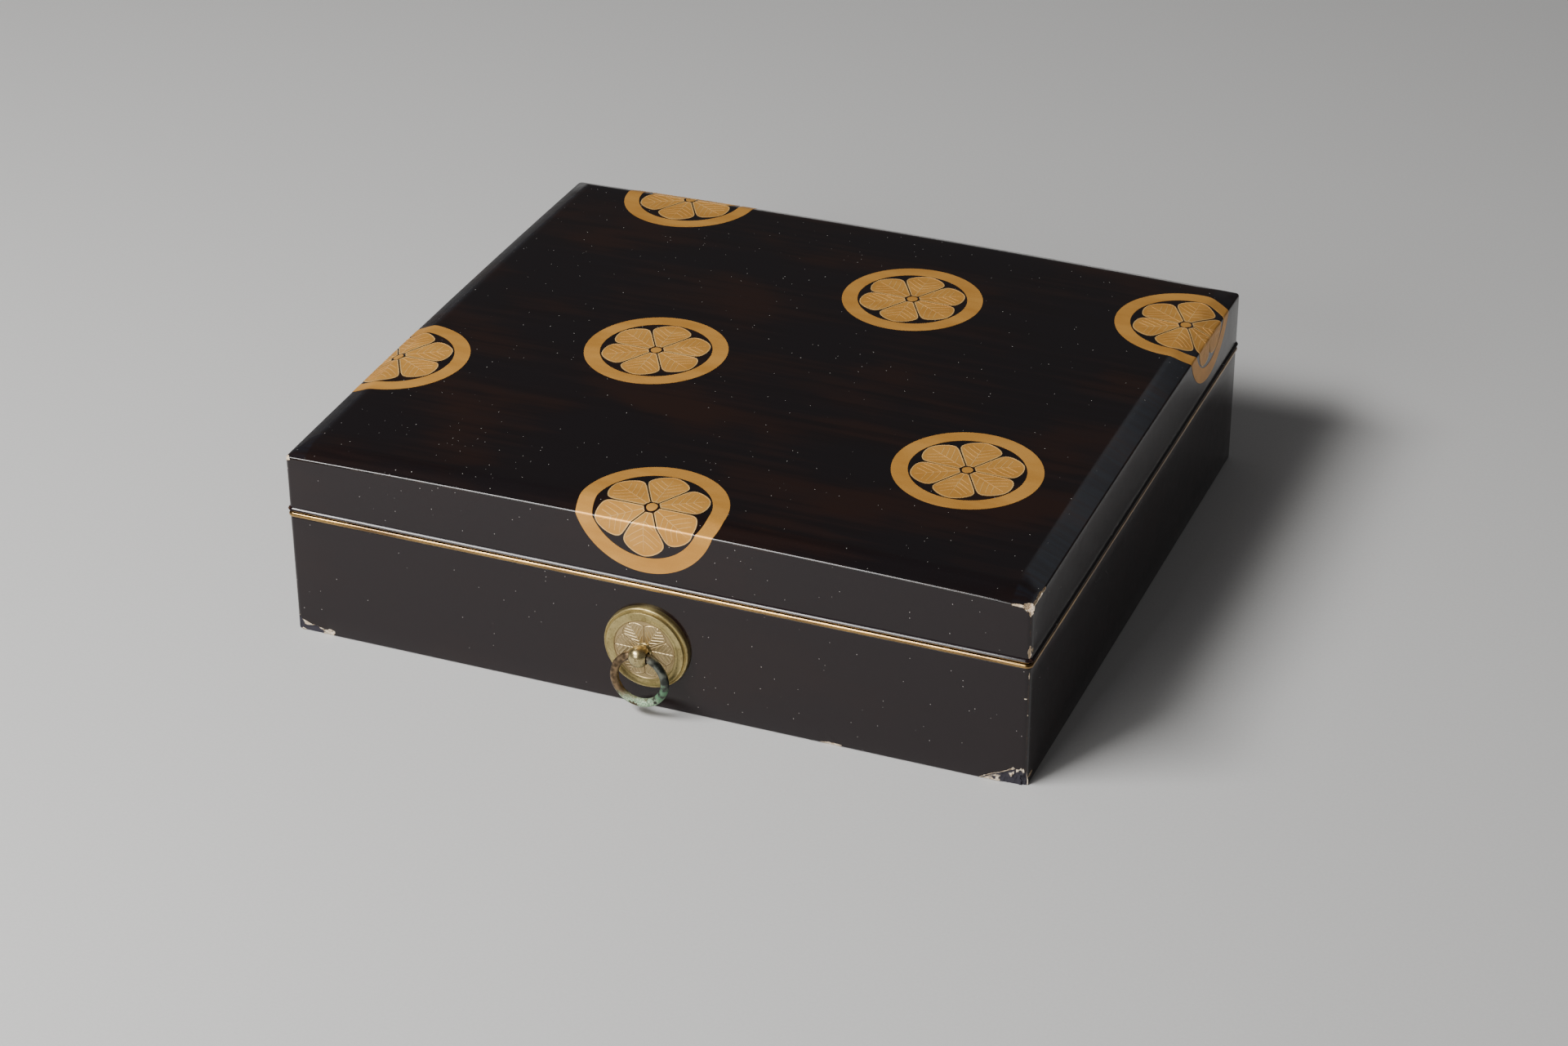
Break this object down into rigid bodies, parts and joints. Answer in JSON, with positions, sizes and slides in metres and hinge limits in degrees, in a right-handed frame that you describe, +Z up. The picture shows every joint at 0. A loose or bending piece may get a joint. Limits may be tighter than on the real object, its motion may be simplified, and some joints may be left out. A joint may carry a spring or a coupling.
{
  "type": "poem paper box",
  "caption": "Flat lacquered box for square poem cards: mitred walls, standing inner rim, cambered lift-off lid, beaded mouth and a cord ring on each long side.",
  "frame": {"origin": "middle of the underside, on the surface that the box stands on", "axes": "+X to the right along the front, +Y from the front to the back, +Z up; the front faces -Y"},
  "size_m": [0.2946, 0.2866, 0.0812],
  "materials": {
    "black_lacquer": "polished black lacquer over wooden boards, gold lacquer roundels, worn at the edges",
    "inner_lacquer": "satin black lacquer over wooden boards",
    "gold_lacquer": "gold lacquer on a moulded bead",
    "engraved_brass": "aged brass with an engraved medallion",
    "aged_brass": "dark aged brass with green verdigris on the ring"
  },
  "bodies": {
    "box": {"bottom_board": "black_lacquer", "body_wall_front": "black_lacquer", "standing_rim_front": "inner_lacquer", "gold_bead_front": "gold_lacquer", "body_wall_right": "black_lacquer", "standing_rim_right": "inner_lacquer", "gold_bead_right": "gold_lacquer", "body_wall_back": "black_lacquer", "standing_rim_back": "inner_lacquer", "gold_bead_back": "gold_lacquer", "body_wall_left": "black_lacquer", "standing_rim_left": "inner_lacquer", "gold_bead_left": "gold_lacquer", "ring_disc_front": "engraved_brass", "ring_pin_front": "aged_brass", "ring_disc_back": "engraved_brass", "ring_pin_back": "aged_brass"},
    "lid": {"lid_board": "black_lacquer", "lid_wall_front": "black_lacquer", "lid_bead_front": "black_lacquer", "lid_wall_right": "black_lacquer", "lid_bead_right": "black_lacquer", "lid_wall_back": "black_lacquer", "lid_bead_back": "black_lacquer", "lid_wall_left": "black_lacquer", "lid_bead_left": "black_lacquer"},
    "front_ring": {"ring_front": "aged_brass"},
    "back_ring": {"ring_back": "aged_brass"}
  },
  "joints": [
    {"name": "lid_lift", "type": "slide", "parent": "box", "child": "lid", "axis": [0, 0, 1], "range_m": [0, 0.08]},
    {"name": "front_ring_swing", "type": "hinge", "parent": "box", "child": "front_ring", "pos_m": [0, -0.1391, 0.02587], "axis": [-1, 0, 0], "range_deg": [-12, 190]},
    {"name": "back_ring_swing", "type": "hinge", "parent": "box", "child": "back_ring", "pos_m": [0, 0.1391, 0.02587], "axis": [1, 0, 0], "range_deg": [-12, 190]}
  ]
}
